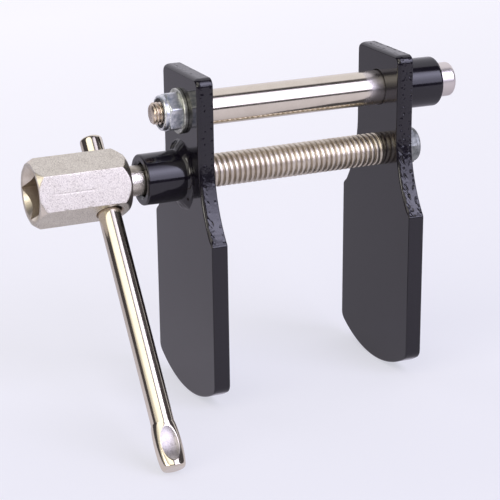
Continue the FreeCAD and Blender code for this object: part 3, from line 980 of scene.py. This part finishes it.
def head_skin():
    """Hexagon with turned chamfers at both ends and softly rounded edges, closed at both ends."""
    sides, steps = 6, 80
    turns = []
    for k in range(sides * steps):
        share = k % steps / steps
        bent = share - math.sin(2 * math.pi * share) / (2 * math.pi) * 0.8
        turns.append(math.radians(60) * (k // steps + bent))
    edges = (outer_x, outer_x + outer_chamfer, inner_x - inner_chamfer, inner_x - 1.0, inner_x)
    places = spaced(outer_x, inner_x, edges, 0.12, 0.5)
    # One scratch along a flat, and knocks as (place along the head, angle in degrees, depth).
    scratch, scratch_from, scratch_to, scratch_depth = steps + 41, 5.5, 20, 0.03
    nick_depth = 0.12
    knocks = ((17.2, 120.0, 0.16), (11.5, 60.0, 0.09), (14.0, 60.0, 0.07), (9.0, 120.0, 0.08))
    points, faces, turned_end = [], [], []
    count = len(turns)
    for j, x in enumerate(places):
        here = x - outer_x
        plain_cone = head_end + here * (head_corner - head_end) / outer_chamfer
        inner_cone = inner_end + (inner_x - x) * (head_corner - inner_end) / inner_chamfer
        for k, a in enumerate(turns):
            nicked = noise.noise(Vector((x / 0.5, 2.2 * a * head_corner, 4.0)))
            outer_cone = plain_cone - nick_depth * max(0.0, nicked) * min(1.0, here / 0.4)
            reach = hexagon_reach(a, head_flats)
            for limit, rounding in ((head_corner - 0.02, 0.05), (outer_cone, 0.06), (inner_cone, 0.10)):
                reach = soft_least(reach, limit, rounding)
            if k == scratch and scratch_from < here < scratch_to:
                reach -= scratch_depth
            for place, side, size in knocks:
                aside = (math.degrees(a) - side) / 180 * math.pi * head_corner
                reach -= size * math.exp(-((here - place) / 0.5) ** 2 - (aside / 0.3) ** 2)
            angle = a + head_turn
            points.append((x, boss_y - reach * math.sin(angle), screw_z + reach * math.cos(angle)))
        if j < len(places) - 1:
            cone = min(inner_cone, plain_cone)
            turned_end += [len(faces) + k for k, a in enumerate(turns)
                           if cone < hexagon_reach(a, head_flats) - 0.05]
            faces += band(j * count, (j + 1) * count, count)
    for row in (0, len(places) - 1):
        close_end(points, faces, row * count, count, (places[row], *screw_axis), (0.985, 0.95, 0.6))
    skin = add_piece("head_skin", points, faces, satin_nickel, turned_nickel)
    for face in turned_end:
        skin.data.polygons[face].material_index = 1
    return skin


def cut_away(piece, tool):
    """Subtract a tool from a piece and drop the tool."""
    knife = piece.modifiers.new("cut", "BOOLEAN")
    knife.operation = "DIFFERENCE"
    knife.solver = "EXACT"
    knife.material_mode = "TRANSFER"
    knife.object = tool
    bpy.context.view_layer.update()
    mesh = bpy.data.meshes.new_from_object(piece.evaluated_get(bpy.context.evaluated_depsgraph_get()))
    piece.modifiers.clear()
    piece.data = mesh
    bpy.data.objects.remove(tool)


def square_tool():
    """The drive socket: a square hole with slightly rounded corners, broached a little off the axis."""
    side, corner, turn = 12.8, 0.3, math.radians(3.0 - 45.0)
    off_y, off_z = 0.9, -0.5
    half = side / 2
    flat = []
    for k, (sy, sz) in enumerate(((1, 1), (-1, 1), (-1, -1), (1, -1))):
        flat += arc((sy * (half - corner), sz * (half - corner)), corner, 90 * k, 90 * (k + 1), 0.2)
    rings = ((outer_x - 1, 1.0), (outer_x + 15.6, 1.0), (outer_x + 16.0, 0.95))
    count = len(flat)
    points, faces = [], []
    for x, shrink in rings:
        for p in flat:
            y, z = p.x * shrink, p.y * shrink
            points.append((x, boss_y + off_y + y * math.cos(turn) - z * math.sin(turn),
                           screw_z + off_z + y * math.sin(turn) + z * math.cos(turn)))
    for j in range(len(rings) - 1):
        faces += band(j * count, (j + 1) * count, count)
    faces.append(tuple(range(count)))
    faces.append(tuple(range((len(rings) - 1) * count, len(rings) * count)))
    return add_piece("socket_tool", points, faces, dull_nickel)


def cross_hole_tool():
    """The cross hole from corner to corner, countersunk at both ends."""
    radius, mouth, reach, wide = 4.5, 10.25, 13.0, 7.25
    outline = [(-reach, 0.0), (-reach, wide), (-mouth, radius), (mouth, radius), (reach, wide), (reach, 0.0)]
    tool = turned("hole_tool", outline, (0.0, 0.0), dull_nickel, 96, closed=False)
    upright = Matrix.Rotation(math.radians(-90), 4, "Y")
    leaning = Matrix.Rotation(head_turn - math.radians(30), 4, "X")
    middle = Vector((hole_x, boss_y, screw_z)) * millimetre
    tool.data.transform(Matrix.Translation(middle) @ leaning @ upright)
    return tool


hole_x = inner_x - 7.7
head = head_skin()
sink = [(outer_x - 1, 0.0), (outer_x - 1, 11.2), (outer_x, 10.1), (outer_x + 0.12, 9.3),
        (outer_x + 9.42, 0.0)]
cut_away(head, turned("sink_tool", sink, screw_axis, worn_nickel, 192, closed=False))
cut_away(head, square_tool())
cut_away(head, cross_hole_tool())
head.data.shade_smooth()
head.data.set_sharp_from_angle(angle=math.radians(28))

neck_radius, screw_radius, journal_radius = 5.4, 6.0, 4.0
neck_end = inner_x + 7.0
outline = [(inner_x - 1, 0), (inner_x - 1, neck_radius), (neck_end + 2, neck_radius), (neck_end + 2, 0)]
neck = turned("screw_neck", outline, screw_axis, rough_nickel, closed=False)
thread_sizes = {"Length": far_face_x - 0.05 - neck_end, "Diameter": 2 * screw_radius, "Depth": 1.2,
                "Pitch": 2.0, "Crest": 0.60, "Crown": 0.16, "Taper": 0.5, "Run Out": 2.2}
thread = thread_piece("screw_thread", neck_end, screw_axis, thread_sizes, worn_nickel, 12, 80)
outline = rounded([
    (far_face_x - 1, 0, 0), (far_face_x - 1, journal_radius, 0), (high.x, journal_radius, 0.8),
    (high.x, 0, 0),
])
journal = turned("screw_journal", outline, screw_axis, bright_nickel, closed=False)
screw = joined("lead_screw_plated", [head, neck, thread, journal])
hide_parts("lead_screw")
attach(screw, "screw")


# The tommy bar: 8 mm round steel, nickel plated bright, loose in the head's cross hole. One end is
# pressed wide by a round punch, so that the bar can't fall out that way.
bar_length, bar_radius, end_rounding = 122.5, 4.0, 0.9
bar_lean, bar_twist = math.radians(1.43), math.radians(-5.0)
bar_slope = head_turn - math.radians(30.0 - 1.7)
spread_half_width, spread_half_length = 4.75, 7.6
dent_place, dent_bottom = 8.3, 2.65
punch_along, punch_across, punch_deep = 8.2, 7.8, 4.0


def bar_reach(along, angle):
    """Bar surface at a place and an angle, as (sideways, forwards), and whether it is in the dent."""
    side, front = bar_radius * math.cos(angle), bar_radius * math.sin(angle)
    off = (along - dent_place) / spread_half_length
    if abs(off) < 1:
        swell = (1 - off * off) ** 0.65
        side *= 1 + (spread_half_width / bar_radius - 1) * swell
        front *= 1 - 0.03 * swell
    under = 1 - (side / punch_across) ** 2 - ((along - dent_place) / punch_along) ** 2
    if front > 0 or under < 0:
        return side, front, False
    dent = dent_bottom + punch_deep * (1 - math.sqrt(under))
    return side, -soft_least(-front, dent, 0.16), dent < -front - 0.03


def bar_narrowing(along):
    """How far the bar has narrowed at a place near one of its ends."""
    edge = min(along, bar_length - along)
    if edge >= end_rounding:
        return 1.0
    drop = end_rounding - math.sqrt(max(0.0, end_rounding ** 2 - (end_rounding - edge) ** 2))
    return 1 - drop / bar_radius


places = spaced(0.0, bar_length, (*range(17), bar_length), 0.10, 0.8)
around, rows = 200, len(places)
points, faces, dented, pressed = [], [], [], []
for along in places:
    narrow = bar_narrowing(along)
    for k in range(around):
        side, front, within = bar_reach(along, 2 * math.pi * k / around)
        points.append((side * narrow, front * narrow, along))
        dented.append(within)
for j in range(rows - 1):
    here, there = j * around, (j + 1) * around
    pressed += [len(faces) + k for k in range(around)
                if dented[here + k] and dented[there + (k + 1) % around]]
    faces += band(here, there, around)
for row in (0, rows - 1):
    close_end(points, faces, row * around, around, (0.0, 0.0, places[row]), (0.97, 0.8, 0.4))
bar = add_piece("tommy_bar_plated", points, faces, bright_nickel, pressed_nickel)
for face in pressed:
    bar.data.polygons[face].material_index = 1
bar_foot = bar_radius - 0.6
steepness = math.cos(bar_lean) * math.cos(bar_slope)
lower_reach = (screw_z - bar_foot * math.sqrt(1 - steepness ** 2)) / steepness
bar.data.transform(
    Matrix.Translation(Vector((hole_x, boss_y, screw_z)) * millimetre)
    @ Matrix.Rotation(bar_slope, 4, "X")
    @ Matrix.Rotation(bar_lean, 4, "Y")
    @ Matrix.Translation(Vector((0, 0, -lower_reach * millimetre)))
    @ Matrix.Rotation(bar_twist, 4, "Z")
)
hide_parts("tommy_bar")
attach(bar, "bar")
